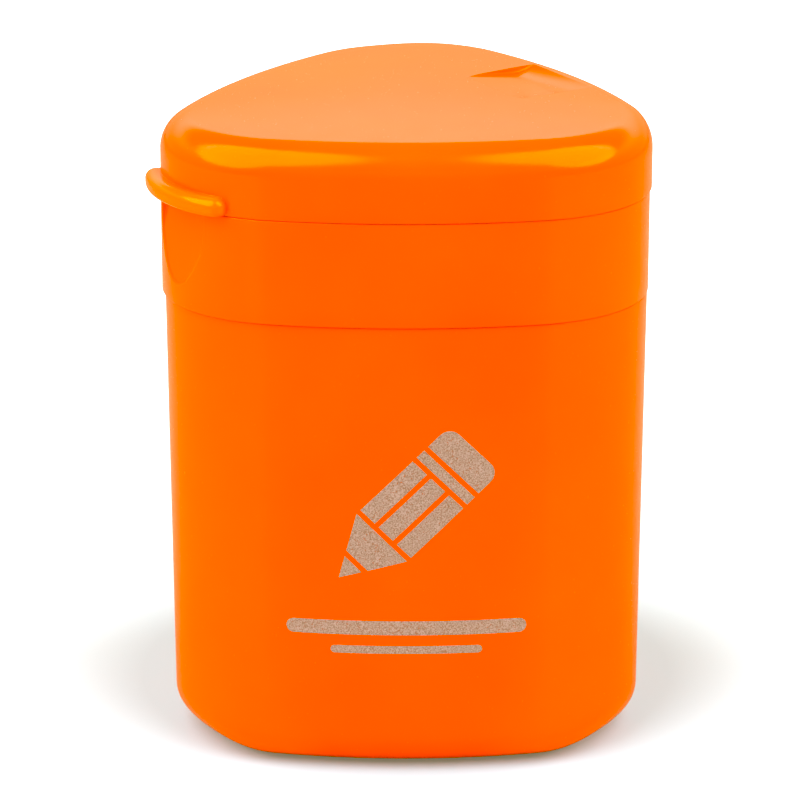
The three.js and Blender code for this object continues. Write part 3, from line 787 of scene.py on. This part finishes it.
def grip_line(side):
    """One side of the wedge seen from the front: hollowed, with fine ribs across it."""
    half = BLOCK_WIDTH / 2
    middle = BLOCK_TOP - BLOCK_LENGTH / 2
    points = []
    for along in np.linspace(-GRIP_HALF_LENGTH, GRIP_HALF_LENGTH, 89):
        hollow = GRIP_DEPTH * (1 - (along / GRIP_HALF_LENGTH) ** 2)
        rib = GRIP_RIB_DEPTH * math.sin(math.pi * along / GRIP_RIB_PITCH) ** 2
        rib *= min(1, 4 * (1 - abs(along) / GRIP_HALF_LENGTH))
        points.append((side * (half - hollow - rib), middle + side * along))
    return points


def make_screw_hole(reach):
    """The tool that cuts the screw's hole, to the same reach on both sides of the seat."""
    radius = SCREW_SHANK_RADIUS + SCREW_CLEARANCE
    hole = turned("hole", [(0, -reach), (radius, -reach), (radius, reach), (0, reach)])
    hole.data.transform(Matrix.Translation((SCREW_OFFSET, 0, 0)))
    return hole


def make_wedge():
    half = BLOCK_WIDTH / 2
    bottom = BLOCK_TOP - BLOCK_LENGTH
    front = [(-half, bottom), (half, bottom), *grip_line(1), (half, BLOCK_TOP), (-half, BLOCK_TOP),
             *grip_line(-1)]
    wedge = slab("wedge", front, -BLOCK_WIDTH, BLOCK_WIDTH)
    profile = [(-seat_distance(0), BLOCK_TOP), (-seat_distance(BLOCK_LENGTH), bottom),
               (BLOCK_BACK, bottom), (BLOCK_BACK, BLOCK_TOP)]
    side = lofted("side", [[(x, y, z) for y, z in profile] for x in (-BLOCK_WIDTH, BLOCK_WIDTH)])
    combine(wedge, "INTERSECT", side)
    cone_depth = MOUTH_DEPTH + (MOUTH_RADIUS - TIP_RADIUS) / math.tan(math.radians(CONE_HALF_ANGLE))
    mouth = MOUTH_RADIUS + MOUTH_CHAMFER
    bore = turned("bore", [(0, bottom - OVERCUT), (TIP_RADIUS, bottom - OVERCUT),
                           (TIP_RADIUS, BLOCK_TOP - cone_depth), (MOUTH_RADIUS, BLOCK_TOP - MOUTH_DEPTH),
                           (MOUTH_RADIUS, BLOCK_TOP - MOUTH_CHAMFER), (mouth, BLOCK_TOP),
                           (mouth, BLOCK_TOP + OVERCUT), (0, BLOCK_TOP + OVERCUT)], 72)
    near = BLADE_EDGE - RELIEF_OVERLAP
    trough = slab("trough", [(near, -RELIEF_DEPTH), (BLOCK_WIDTH, RELIEF_RISE), (BLOCK_WIDTH, RELIEF_TOP),
                             (near, RELIEF_TOP)], -BLOCK_LENGTH - RELIEF_PAST, 0)
    hole = make_screw_hole(8)
    combine(wedge, "DIFFERENCE", bore, onto_seat(trough, RELIEF_START), onto_seat(hole, SCREW_DEPTH))
    return bevelled(wedge, BLOCK_BEVEL, angle=50)


def make_blade():
    left = BLADE_EDGE - BLADE_WIDTH
    half = BLADE_LENGTH / 2
    points = [(left + BLADE_CHAMFER, -half), (BLADE_EDGE, -half), (BLADE_EDGE, half),
              (left + BLADE_CHAMFER, half), (left, half - BLADE_CHAMFER), (left, BLADE_CHAMFER - half)]
    top = BLADE_GAP + BLADE_THICKNESS
    blade = prism("blade_steel", points, BLADE_GAP, top)
    past_edge = BLADE_EDGE + 0.1
    grind = slab("grind", [(BLADE_EDGE - BLADE_GRIND, top), (past_edge, BLADE_GAP + BLADE_EDGE_THICKNESS),
                           (past_edge, top + OVERCUT), (BLADE_EDGE - BLADE_GRIND, top + OVERCUT)],
                 -half - OVERCUT, half + OVERCUT)
    combine(blade, "DIFFERENCE", grind, make_screw_hole(2))
    return onto_seat(bevelled(blade, BLADE_BEVEL, angle=30, segments=1), SCREW_DEPTH)


def make_screw():
    """The screw, with a straight slot in a head that is rounded at its edge."""
    under = 2 * BLADE_GAP + BLADE_THICKNESS
    top = under + SCREW_HEAD_HEIGHT
    end = under - SCREW_SHANK_LENGTH
    profile = [(0, end), (SCREW_SHANK_RADIUS - SCREW_END_CHAMFER, end),
               (SCREW_SHANK_RADIUS, end + SCREW_END_CHAMFER), (SCREW_SHANK_RADIUS, under),
               (SCREW_HEAD_RADIUS - 0.1, under), (SCREW_HEAD_RADIUS, under + 0.1),
               (SCREW_HEAD_RADIUS, top - 0.45), (SCREW_HEAD_RADIUS - 0.1, top - 0.2),
               (SCREW_HEAD_RADIUS - 0.35, top - 0.05), (SCREW_HEAD_RADIUS - 0.8, top), (0, top)]
    screw = turned("screw", profile, 64)
    slot = block("slot", (-SCREW_SLOT_WIDTH / 2, -SCREW_SLOT_REACH, top - SCREW_SLOT_DEPTH),
                 (SCREW_SLOT_WIDTH / 2, SCREW_SLOT_REACH, top + OVERCUT))
    combine(screw, "DIFFERENCE", slot)
    turn_z(screw, SCREW_TURN)
    screw.data.transform(Matrix.Translation((SCREW_OFFSET, 0, 0)))
    return onto_seat(screw, SCREW_DEPTH)


# ---- Printed mark -----------------------------------------------------------------------

def tub_inset(height):
    """Inset of the tub's straight wall at a height."""
    low = FOOT_HEIGHT + TUB_EDGE_RADIUS
    return TUB_LOW_INSET + (TUB_TOP_INSET - TUB_LOW_INSET) * (height - low) / (TUB_SHOULDER - low)


def make_film():
    """A thin skin all round the tub's wall, which the printed shapes are cut from."""
    outside = PRINT_LIFT + PRINT_THICKNESS
    rows = [(tub_inset(height) - out, height) for height, out in
            ((FILM_LOW, outside), (FILM_HIGH, outside), (FILM_HIGH, PRINT_LIFT), (FILM_LOW, PRINT_LIFT))]
    return swept("film", rows, np.arange(0, 360, 1.0))


def turn_points(x, y, radius, start, end, count):
    """Points round part of a circle about (x, y), anticlockwise from the start angle."""
    return [(x + radius * c, y + radius * s) for c, s in unit(np.linspace(start, end, count))]


def rounded_bar(length, thickness, height):
    """A horizontal bar with round ends, as an outline in X and Z."""
    radius = thickness / 2
    reach = length / 2 - radius
    return turn_points(reach, height, radius, -90, 90, 13) + turn_points(-reach, height, radius, 90, 270, 13)


def pencil_shapes():
    """A plain pencil pictogram: lead, wood, three stripes of the barrel, ferrule and eraser.
    Along runs from the point to the eraser, and across is to either side."""
    half = MARK_HALF_WIDTH
    gap = MARK_GAP
    wood_end = 5.0
    lead_end = 1.7
    barrel_end = 11.4
    ferrule_end = 12.7
    spread = half / wood_end
    lead = [(0, 0), (lead_end, -spread * lead_end), (lead_end, spread * lead_end)]
    wood_start = lead_end + gap
    wood = [(wood_start, -spread * wood_start), (wood_end, -half), (wood_end, half),
            (wood_start, spread * wood_start)]
    stripe = (2 * half - 2 * gap) / 3
    shapes = [lead, wood]
    for number in range(3):
        low = -half + number * (stripe + gap)
        shapes.append([(wood_end + gap, low), (barrel_end, low), (barrel_end, low + stripe),
                       (wood_end + gap, low + stripe)])
    shapes.append([(barrel_end + gap, -half), (ferrule_end, -half), (ferrule_end, half),
                   (barrel_end + gap, half)])
    start = ferrule_end + gap
    end = MARK_LENGTH - MARK_CORNER
    low_turn = turn_points(end, MARK_CORNER - half, MARK_CORNER, -90, 0, 8)
    high_turn = turn_points(end, half - MARK_CORNER, MARK_CORNER, 0, 90, 8)
    shapes.append([(start, -half), *low_turn, *high_turn, (start, half)])
    return shapes


def mark_outline(shape):
    """Places a pictogram shape on the front, tilted, with its middle at the mark's height."""
    tilt = math.radians(MARK_TILT)
    placed = []
    for along, across in shape:
        along -= MARK_LENGTH / 2
        x = along * math.cos(tilt) - across * math.sin(tilt)
        z = along * math.sin(tilt) + across * math.cos(tilt)
        placed.append((x, MARK_HEIGHT + z))
    return placed


def print_piece(name, outlines):
    """The parts of the film that lie inside the outlines on the front."""
    film = make_film()
    film.name = name
    shapes = [slab("shape", points, -SIDE_DISTANCE - 2, -CORNER_CENTRE) for points in outlines]
    stencil = combine(shapes[0], "UNION", *shapes[1:])
    return combine(film, "INTERSECT", stencil)


# ---- Materials --------------------------------------------------------------------------

class Nodes:
    """The node tree of a material or of the world, with short calls to add nodes and link them."""

    def __init__(self, owner, shader):
        owner.use_nodes = True
        self.owner = owner
        self.tree = owner.node_tree
        self.shader = self.tree.nodes[shader]

    def add(self, kind, settings=None, **inputs):
        node = self.tree.nodes.new(kind)
        for name, value in (settings or {}).items():
            setattr(node, name, value)
        for name, value in inputs.items():
            self.put(node, name.replace("_", " "), value)
        return node

    def put(self, node, name, value):
        socket = node.inputs[name]
        if isinstance(value, bpy.types.NodeSocket):
            self.tree.links.new(value, socket)
        else:
            socket.default_value = value

    def set(self, **inputs):
        for name, value in inputs.items():
            self.put(self.shader, name.replace("_", " "), value)

    def place(self):
        return self.add("ShaderNodeTexCoord").outputs["Object"]

    def noise(self, scale, detail, roughness, vector=None):
        node = self.add("ShaderNodeTexNoise", Vector=vector or self.place(), Scale=scale,
                        Detail=detail, Roughness=roughness)
        return node.outputs["Fac"]

    def ramp(self, factor, stops):
        node = self.add("ShaderNodeValToRGB", Fac=factor)
        elements = node.color_ramp.elements
        while len(elements) < len(stops):
            elements.new(0.5)
        for element, (position, colour) in zip(elements, stops):
            element.position = position
            element.color = (*colour, 1)
        return node.outputs["Color"]

    def span(self, value, low, high, to_low, to_high):
        """Maps one range onto another, and stays at the second range's ends outside the first."""
        node = self.add("ShaderNodeMapRange", Value=value, From_Min=low, From_Max=high,
                        To_Min=to_low, To_Max=to_high)
        return node.outputs["Result"]

    def mix(self, factor, first, second, blend="MIX"):
        """Mixes two colours. A fixed colour is a tuple of three."""
        node = self.add("ShaderNodeMix", {"data_type": "RGBA", "blend_type": blend})
        for index, value in ((0, factor), (6, first), (7, second)):
            self.put(node, index, (*value, 1) if isinstance(value, tuple) else value)
        return node.outputs[2]

    def math(self, operation, first, second=0.0):
        node = self.add("ShaderNodeMath", {"operation": operation})
        self.put(node, 0, first)
        self.put(node, 1, second)
        return node.outputs[0]

    def vector_math(self, operation, first, second=None, result="Vector"):
        node = self.add("ShaderNodeVectorMath", {"operation": operation})
        self.put(node, 0, first)
        if second is not None:
            self.put(node, 1, second)
        return node.outputs[result]

    def bump(self, height, strength, distance, **inputs):
        node = self.add("ShaderNodeBump", Height=height, Strength=strength, Distance=distance, **inputs)
        return node.outputs["Normal"]

    def soft_edges(self, radius):
        return self.add("ShaderNodeBevel", {"samples": 4}, Radius=radius).outputs["Normal"]

    def on_tab_corner(self, from_radius, to_radius):
        """A mask on the outside of the tab's corner: 0 at one radius about the corner's centre
        and 1 at another. It places the painted light on the tab and the painted shade in the finger recess."""
        outward = Vector((*unit(TAB_CORNER), 0))
        offset = self.vector_math("SUBTRACT", self.place(), outward * CORNER_CENTRE * MM)
        flat = self.vector_math("MULTIPLY", offset, (1, 1, 0))
        radius = self.vector_math("LENGTH", flat, result="Value")
        along = self.vector_math("DOT_PRODUCT", flat, outward, "Value")
        reached = self.span(radius, from_radius * MM, to_radius * MM, 0, 1)
        low, high = TAB_SIDE_SPAN
        facing = self.span(along, low * MM, high * MM, 0, 1)
        return self.math("MULTIPLY", reached, facing)


def material_nodes(name):
    return Nodes(bpy.data.materials.new(name), "Principled BSDF")


def plastic(name, seed, painted_corner_tone=None, painted_corner_span=None):
    """Glossy moulded plastic: faint flow clouds, fine orange peel, rubbed and dusty patches. On
    the tab's corner it can take a painted tone over a span of radii about the corner's centre: painted light
    on the lid's tab, painted shade in the collar's finger recess."""
    nodes = material_nodes(name)
    shift = nodes.add("ShaderNodeMapping", Vector=nodes.place(), Location=(seed, seed / 2, 0)).outputs[0]
    clouds = nodes.noise(60, 3, 0.55, vector=shift)
    tone = nodes.ramp(clouds, [(0.3, ORANGE_DEEP), (0.7, ORANGE_LIGHT)])
    if painted_corner_tone:
        # Painted tone on the tab's corner: painted light on the lid, painted shade on the collar
        tone = nodes.mix(nodes.on_tab_corner(*painted_corner_span), tone, painted_corner_tone)
    nodes.set(Base_Color=tone)
    rubbed = nodes.noise(260, 5, 0.65, vector=shift)
    dust = nodes.span(nodes.noise(5200, 1, 0.5, vector=shift), 0.72, 0.8, 0, 0.16)
    nodes.set(Roughness=nodes.math("ADD", nodes.span(rubbed, 0.3, 0.75, 0.13, 0.2), dust))
    peel = nodes.noise(900, 2, 0.4, vector=shift)
    nodes.set(Normal=nodes.bump(peel, 0.12, 0.03 * MM, Normal=nodes.soft_edges(0.12 * MM)))
    nodes.set(IOR=1.5, Specular_IOR_Level=0.6, Specular_Tint=(1.0, 0.75, 0.08, 1))
    return nodes.owner


def cast_metal():
    """Light cast metal, tumbled matt: fine pits, lighter blotches and softened edges."""
    nodes = material_nodes("cast_metal")
    blotches = nodes.noise(350, 4, 0.6)
    pits = nodes.noise(4200, 3, 0.6)
    nodes.set(Base_Color=nodes.ramp(blotches, [(0.3, CAST_DARK), (0.7, CAST_LIGHT)]))
    nodes.set(Roughness=nodes.span(pits, 0.3, 0.7, 0.36, 0.54), Metallic=0.4)
    nodes.set(Normal=nodes.bump(pits, 0.3, 0.03 * MM, Normal=nodes.soft_edges(0.1 * MM)))
    return nodes.owner


def ground_steel():
    """Blade steel with the fine parallel lines of grinding across it."""
    nodes = material_nodes("ground_steel")
    stretched = nodes.add("ShaderNodeMapping", Vector=nodes.place(), Scale=(60, 9000, 9000)).outputs[0]
    lines = nodes.noise(1, 3, 0.6, vector=stretched)
    stain = nodes.noise(400, 3, 0.5)
    nodes.set(Base_Color=nodes.ramp(stain, [(0.35, STEEL_DARK), (0.7, STEEL_LIGHT)]))
    nodes.set(Roughness=nodes.span(lines, 0.3, 0.7, 0.2, 0.36), Metallic=0.6)
    nodes.set(Normal=nodes.bump(lines, 0.25, 0.02 * MM))
    return nodes.owner


def plated_brass():
    """The screw's plated brass, in duller and brighter patches."""
    nodes = material_nodes("plated_brass")
    patches = nodes.noise(900, 4, 0.6)
    nodes.set(Base_Color=nodes.ramp(patches, [(0.3, BRASS_DARK), (0.7, BRASS_LIGHT)]))
    nodes.set(Roughness=nodes.span(patches, 0.3, 0.7, 0.24, 0.4), Metallic=0.7)
    nodes.set(Normal=nodes.bump(nodes.noise(6000, 2, 0.5), 0.2, 0.02 * MM))
    return nodes.owner


def pad_print():
    """Thin pale ink, finely mottled, with the plastic showing partly through where it is thinnest."""
    nodes = material_nodes("pad_print")
    grain = nodes.noise(9500, 2, 0.6)
    wear = nodes.noise(1500, 3, 0.6)
    tone = nodes.ramp(grain, [(0.36, INK_DARK), (0.52, INK), (0.7, INK_LIGHT)])
    level = nodes.math("ADD", nodes.math("MULTIPLY", grain, 0.8), nodes.math("MULTIPLY", wear, 0.2))
    cover = nodes.span(level, 0.3, 0.4, 0.55, 1.0)
    nodes.set(Base_Color=nodes.mix(cover, ORANGE, tone))
    nodes.set(Roughness=nodes.span(grain, 0.3, 0.7, 0.45, 0.65), Specular_IOR_Level=0.3)
    nodes.set(Normal=nodes.bump(grain, 0.3, 0.02 * MM))
    return nodes.owner


def floor_surface():
    """A pale floor. Seen by the camera it carries a painted shadow, a little greyer close to the
    object, and a painted white glow that fades in away from it, so it turns white there. It bounces a softer
    light, and in reflections it is dark straight in front, as if the camera stood there."""
    nodes = material_nodes("pale_floor_painted_shadow")
    distance = nodes.vector_math("DISTANCE", nodes.place(), (0, FLOOR_CENTRE_Y, 0), "Value")
    # Painted shadow: the floor seen by the camera is greyer close to the object
    seen = nodes.mix(nodes.span(distance, *FLOOR_SPREAD, 0, 1), FLOOR_PAINTED_SHADOW, FLOOR_FAR)
    rays = nodes.add("ShaderNodeLightPath").outputs
    # Painted glow, for camera rays only: white, weakest close to the object
    fade = nodes.math("MULTIPLY", nodes.span(distance, *FLOOR_PAINTED_GLOW_SPAN, FLOOR_LEAST_PAINTED_GLOW, 1),
                      rays["Is Camera Ray"])
    nodes.set(Emission_Color=(1, 1, 1, 1), Emission_Strength=fade)
    split = nodes.add("ShaderNodeSeparateXYZ", Vector=nodes.place()).outputs
    sideways = nodes.math("ABSOLUTE", split["X"])
    forward = nodes.math("MULTIPLY", split["Y"], -1.0)
    azimuth = nodes.math("ARCTAN2", sideways, forward)
    low, high = FLOOR_FRONT_SPAN
    off_front = nodes.span(azimuth, math.radians(low), math.radians(high), 0, 1)
    mirrored = nodes.mix(off_front, FLOOR_FRONT, FLOOR_SIDE)
    unseen = nodes.mix(rays["Is Glossy Ray"], FLOOR_BOUNCE, mirrored)
    nodes.set(Base_Color=nodes.mix(rays["Is Camera Ray"], unseen, seen))
    nodes.set(Roughness=0.6, Specular_IOR_Level=0.1)
    return nodes.owner


# ---- Floor, light and camera ------------------------------------------------------------

def make_floor():
    """A large floor just under the object, so that the two faces don't fight."""
    half = FLOOR_HALF_SIZE
    corners = [(-half, -half), (half, -half), (half, half), (-half, half)]
    floor = make_object("floor", [(x, y, -FLOOR_DROP) for x, y in corners], [(0, 1, 2, 3)])
    floor.data.materials.append(floor_surface())


def add_softbox(name, azimuth, elevation, radius, radiance):
    """A round softbox aimed at the object. Azimuth 0 is in front and 90 is to the right."""
    light = bpy.data.lights.new(name, "AREA")
    light.shape = "DISK"
    light.size = 2 * radius
    light.energy = radiance * math.pi * math.pi * radius ** 2
    lamp = bpy.data.objects.new(name, light)
    bpy.context.scene.collection.objects.link(lamp)
    a, e = math.radians(azimuth), math.radians(elevation)
    away = Vector((math.sin(a) * math.cos(e), -math.cos(a) * math.cos(e), math.sin(e)))
    lamp.location = away * SOFTBOX_DISTANCE + SOFTBOX_AIM
    lamp.rotation_euler = away.to_track_quat("Z", "Y").to_euler()


def make_world():
    """A pale studio, plain white to the camera. Its walls glow most at mid height and are
    yellowish, apart from the far one. The side behind the camera is dim and so is the ceiling."""
    world = bpy.data.worlds.new("studio")
    bpy.context.scene.world = world
    nodes = Nodes(world, "Background")
    direction = nodes.add("ShaderNodeTexCoord").outputs["Generated"]
    split = nodes.add("ShaderNodeSeparateXYZ", Vector=direction).outputs
    glow = nodes.ramp(split["Z"], WALL_GLOW)
    to_sides = nodes.span(split["Y"], 0.25, 0.75, 1, 0)
    walls = nodes.mix(to_sides, glow, nodes.mix(1.0, glow, SIDE_TINT, "MULTIPLY"))
    behind_camera = nodes.span(split["Y"], -0.75, -0.1, FRONT_DIMMING, 0)
    room = nodes.mix(behind_camera, walls, (0, 0, 0))
    is_seen = nodes.add("ShaderNodeLightPath").outputs["Is Camera Ray"]
    nodes.set(Color=nodes.mix(is_seen, room, (1, 1, 1)))


def grade_picture():
    """A plain view with the deepest blues clipped, as a camera records a fluorescent orange."""
    view = bpy.context.scene.view_settings
    view.view_transform = "Standard"
    view.use_curve_mapping = True
    blue = view.curve_mapping.curves[2]
    blue.points.new(BLUE_CLIP, 0)
    for point in blue.points:
        point.handle_type = "VECTOR"
    view.curve_mapping.update()


def make_camera():
    data = bpy.data.cameras.new("camera")
    data.lens = CAMERA_LENS
    data.sensor_width = CAMERA_SENSOR
    data.clip_start, data.clip_end = 0.01, 20
    camera = bpy.data.objects.new("camera", data)
    bpy.context.scene.collection.objects.link(camera)
    e = math.radians(CAMERA_ELEVATION)
    back = Vector((0, -math.cos(e), math.sin(e)))
    camera.location = CAMERA_TARGET + back * CAMERA_DISTANCE
    camera.rotation_euler = back.to_track_quat("Z", "Y").to_euler()
    bpy.context.scene.camera = camera


make_camera()
make_world()
make_floor()
add_softbox("softbox_left", azimuth=-67, elevation=48, radius=0.65, radiance=4.7)
add_softbox("softbox_right", azimuth=69, elevation=47, radius=0.60, radiance=4.6)
grade_picture()

finish_piece(make_tub(), "tub", "tub", plastic("tub_plastic", 0.31))
# The collar's plastic carries painted shade in the finger recess
finish_piece(make_collar(), "collar", "collar",
             plastic("collar_plastic", 0.57, ORANGE_PAINTED_RECESS_SHADE, RECESS_PAINTED_SHADE_SPAN))
# The lid's plastic carries painted light on the thumb tab
finish_piece(make_lid(), "lid", "lid",
             plastic("lid_plastic", 0.83, ORANGE_PAINTED_TAB_LIGHT, TAB_PAINTED_LIGHT_SPAN))
finish_piece(make_wedge(), "collar", "sharpener_body", cast_metal())
finish_piece(make_blade(), "collar", "blade", ground_steel())
finish_piece(make_screw(), "collar", "blade_screw", plated_brass())

ink = pad_print()
pencil = print_piece("printed_pencil", [mark_outline(shape) for shape in pencil_shapes()])
finish_piece(pencil, "tub", None, ink)
bars = [rounded_bar(length, thickness, LINES_HEIGHT + rise) for length, thickness, rise in LINES]
lines = print_piece("printed_lines", bars)
finish_piece(lines, "tub", None, ink)
